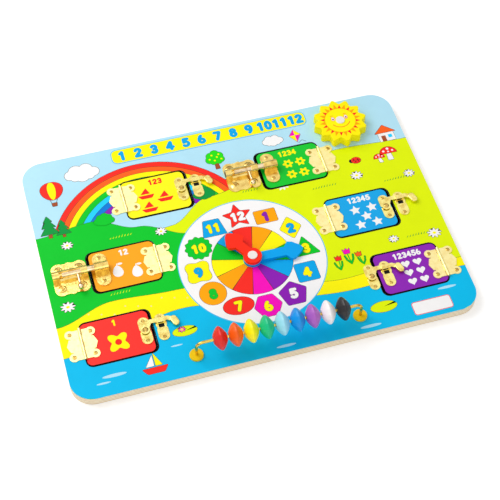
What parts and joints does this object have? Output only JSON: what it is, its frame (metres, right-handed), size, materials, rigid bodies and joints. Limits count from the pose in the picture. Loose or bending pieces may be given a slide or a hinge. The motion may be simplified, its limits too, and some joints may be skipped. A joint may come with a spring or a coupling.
{
  "type": "wooden busy board",
  "caption": "Flat printed plywood play board with hinged doors on hooks and barrel bolts, a toy clock with turning hands, a turning sun knob and counting beads on a wire arch.",
  "frame": {"origin": "middle of the flat back face of the board, which lies on its back with the printed face up", "axes": "+X along the long side to the right of the picture, +Y up the picture, +Z out of the printed face"},
  "size_m": [0.42, 0.297, 0.0449],
  "materials": {
    "birch_ply": "bare sanded birch plywood",
    "printed_board": "plywood printed in full colour under a satin varnish",
    "yellow_print": "printed plywood, satin",
    "green_print": "printed plywood, satin",
    "orange_print": "printed plywood, satin",
    "blue_print": "printed plywood, satin",
    "red_print": "printed plywood, satin",
    "violet_print": "printed plywood, satin",
    "hinge_brass": "pale brass plate, satin",
    "bright_brass": "brass plate, polished",
    "steel_pin": "brass plated pin, satin",
    "hand_blue": "painted wood, satin",
    "hand_red": "painted wood, satin",
    "pale_dowel": "white stained dowel",
    "sun_yellow": "painted wood, satin",
    "foot_yellow": "painted wood, satin",
    "bead_red": "painted wood, silky",
    "bead_orange": "painted wood, silky",
    "bead_yellow": "painted wood, silky",
    "bead_green": "painted wood, silky",
    "bead_pale": "painted wood, silky",
    "bead_blue": "painted wood, silky",
    "bead_violet": "painted wood, silky",
    "bead_white": "painted wood, silky",
    "bead_black": "painted wood, silky"
  },
  "bodies": {
    "board": {"back_panel": "birch_ply", "front_panel": "printed_board", "hinge_leaves": "hinge_brass", "hinge_pins": "steel_pin", "board_fixings": "bright_brass", "board_catches": "bright_brass", "green_bolt_housing": "bright_brass", "orange_bolt_housing": "bright_brass", "violet_hook_plate": "bright_brass", "clock_post": "pale_dowel", "clock_cap": "pale_dowel", "sun_post": "pale_dowel", "sun_cap": "pale_dowel", "bead_wire": "bright_brass", "wire_feet": "foot_yellow"},
    "yellow_door": {"yellow_door": "yellow_print", "yellow_door_leaf": "hinge_brass", "yellow_door_fixings": "bright_brass", "yellow_hook_plate": "bright_brass"},
    "yellow_hook": {"yellow_hook_arm": "bright_brass"},
    "green_door": {"green_door": "green_print", "green_door_leaf": "hinge_brass", "green_door_fixings": "bright_brass", "green_keeper": "bright_brass"},
    "green_bolt": {"green_bolt_rod": "bright_brass"},
    "green_grip": {"green_bolt_grip": "bright_brass"},
    "orange_door": {"orange_door": "orange_print", "orange_door_leaf": "hinge_brass", "orange_door_fixings": "bright_brass", "orange_keeper": "bright_brass"},
    "orange_bolt": {"orange_bolt_rod": "bright_brass"},
    "orange_grip": {"orange_bolt_grip": "bright_brass"},
    "blue_door": {"blue_door": "blue_print", "blue_door_leaf": "hinge_brass", "blue_door_fixings": "bright_brass", "blue_hook_plate": "bright_brass"},
    "blue_hook": {"blue_hook_arm": "bright_brass"},
    "red_door": {"red_door": "red_print", "red_door_leaf": "hinge_brass", "red_door_fixings": "bright_brass", "red_hook_plate": "bright_brass"},
    "red_hook": {"red_hook_arm": "bright_brass"},
    "violet_door": {"violet_door": "violet_print", "violet_door_leaf": "hinge_brass", "violet_door_fixings": "bright_brass", "violet_catch": "bright_brass"},
    "violet_hook": {"violet_hook_arm": "bright_brass"},
    "minute_hand": {"clock_minute_hand": "hand_blue"},
    "hour_hand": {"clock_hour_hand": "hand_red"},
    "sun": {"sun": "sun_yellow"},
    "bead_red": {"bead_red": "bead_red"},
    "bead_orange": {"bead_orange": "bead_orange"},
    "bead_yellow": {"bead_yellow": "bead_yellow"},
    "bead_green": {"bead_green": "bead_green"},
    "bead_pale": {"bead_pale": "bead_pale"},
    "bead_blue": {"bead_blue": "bead_blue"},
    "bead_violet": {"bead_violet": "bead_violet"},
    "bead_white": {"bead_white": "bead_white"},
    "bead_black": {"bead_black": "bead_black"}
  },
  "joints": [
    {"name": "yellow_door_swing", "type": "hinge", "parent": "board", "child": "yellow_door", "pos_m": [-0.1106, 0.0741, 0.012], "axis": [0, -1, 0], "range_deg": [0, 164]},
    {"name": "yellow_hook_swing", "type": "hinge", "parent": "yellow_door", "child": "yellow_hook", "pos_m": [-0.0476, 0.0741, 0.0127], "axis": [0, 0, 1], "range_deg": [0, 80]},
    {"name": "green_door_swing", "type": "hinge", "parent": "board", "child": "green_door", "pos_m": [0.1106, 0.0741, 0.012], "axis": [0, 1, 0], "range_deg": [0, 104]},
    {"name": "green_bolt_slide", "type": "slide", "parent": "board", "child": "green_bolt", "axis": [-1, 0, 0], "range_m": [0, 0.016]},
    {"name": "green_grip_turn", "type": "hinge", "parent": "green_bolt", "child": "green_grip", "pos_m": [0.0273, 0.0761, 0.0169], "axis": [-1, 0, 0], "range_deg": [-8, 60]},
    {"name": "orange_door_swing", "type": "hinge", "parent": "board", "child": "orange_door", "pos_m": [-0.0934, -0.0068, 0.012], "axis": [0, 1, 0], "range_deg": [0, 164]},
    {"name": "orange_bolt_slide", "type": "slide", "parent": "board", "child": "orange_bolt", "axis": [-1, 0, 0], "range_m": [0, 0.016]},
    {"name": "orange_grip_turn", "type": "hinge", "parent": "orange_bolt", "child": "orange_grip", "pos_m": [-0.1767, -0.0048, 0.0169], "axis": [-1, 0, 0], "range_deg": [-8, 60]},
    {"name": "blue_door_swing", "type": "hinge", "parent": "board", "child": "blue_door", "pos_m": [0.0934, -0.0068, 0.012], "axis": [0, -1, 0], "range_deg": [0, 164]},
    {"name": "blue_hook_swing", "type": "hinge", "parent": "blue_door", "child": "blue_hook", "pos_m": [0.1564, -0.0068, 0.0127], "axis": [0, 0, 1], "range_deg": [0, 80]},
    {"name": "red_door_swing", "type": "hinge", "parent": "board", "child": "red_door", "pos_m": [-0.1888, -0.0877, 0.012], "axis": [0, -1, 0], "range_deg": [0, 164]},
    {"name": "red_hook_swing", "type": "hinge", "parent": "red_door", "child": "red_hook", "pos_m": [-0.1258, -0.0877, 0.0127], "axis": [0, 0, 1], "range_deg": [0, 80]},
    {"name": "violet_door_swing", "type": "hinge", "parent": "board", "child": "violet_door", "pos_m": [0.1888, -0.0877, 0.012], "axis": [0, 1, 0], "range_deg": [0, 164]},
    {"name": "violet_hook_swing", "type": "hinge", "parent": "board", "child": "violet_hook", "pos_m": [0.1118, -0.0877, 0.0127], "axis": [0, 0, 1], "range_deg": [0, 80]},
    {"name": "minute_hand_turn", "type": "hinge", "parent": "board", "child": "minute_hand", "pos_m": [0.0002, -0.0342, 0.01285], "axis": [0, 0, -1], "continuous": true},
    {"name": "hour_hand_turn", "type": "hinge", "parent": "board", "child": "hour_hand", "pos_m": [0.0002, -0.0342, 0.01715], "axis": [0, 0, -1], "continuous": true},
    {"name": "sun_turn", "type": "hinge", "parent": "board", "child": "sun", "pos_m": [0.1438, 0.1121, 0.01635], "axis": [0, 0, -1], "continuous": true},
    {"name": "bead_red_slide", "type": "slide", "parent": "board", "child": "bead_red", "axis": [1, 0, 0], "range_m": [-0.008, 0.0009]},
    {"name": "bead_orange_slide", "type": "slide", "parent": "board", "child": "bead_orange", "axis": [1, 0, 0], "range_m": [-0.0009, 0.0009]},
    {"name": "bead_yellow_slide", "type": "slide", "parent": "board", "child": "bead_yellow", "axis": [1, 0, 0], "range_m": [-0.0009, 0.0009]},
    {"name": "bead_green_slide", "type": "slide", "parent": "board", "child": "bead_green", "axis": [1, 0, 0], "range_m": [-0.0009, 0.0009]},
    {"name": "bead_pale_slide", "type": "slide", "parent": "board", "child": "bead_pale", "axis": [1, 0, 0], "range_m": [-0.0009, 0.0009]},
    {"name": "bead_blue_slide", "type": "slide", "parent": "board", "child": "bead_blue", "axis": [1, 0, 0], "range_m": [-0.0009, 0.0009]},
    {"name": "bead_violet_slide", "type": "slide", "parent": "board", "child": "bead_violet", "axis": [1, 0, 0], "range_m": [-0.0009, 0.0009]},
    {"name": "bead_white_slide", "type": "slide", "parent": "board", "child": "bead_white", "axis": [1, 0, 0], "range_m": [-0.0009, 0.0009]},
    {"name": "bead_black_slide", "type": "slide", "parent": "board", "child": "bead_black", "axis": [1, 0, 0], "range_m": [-0.0009, 0.004]}
  ]
}
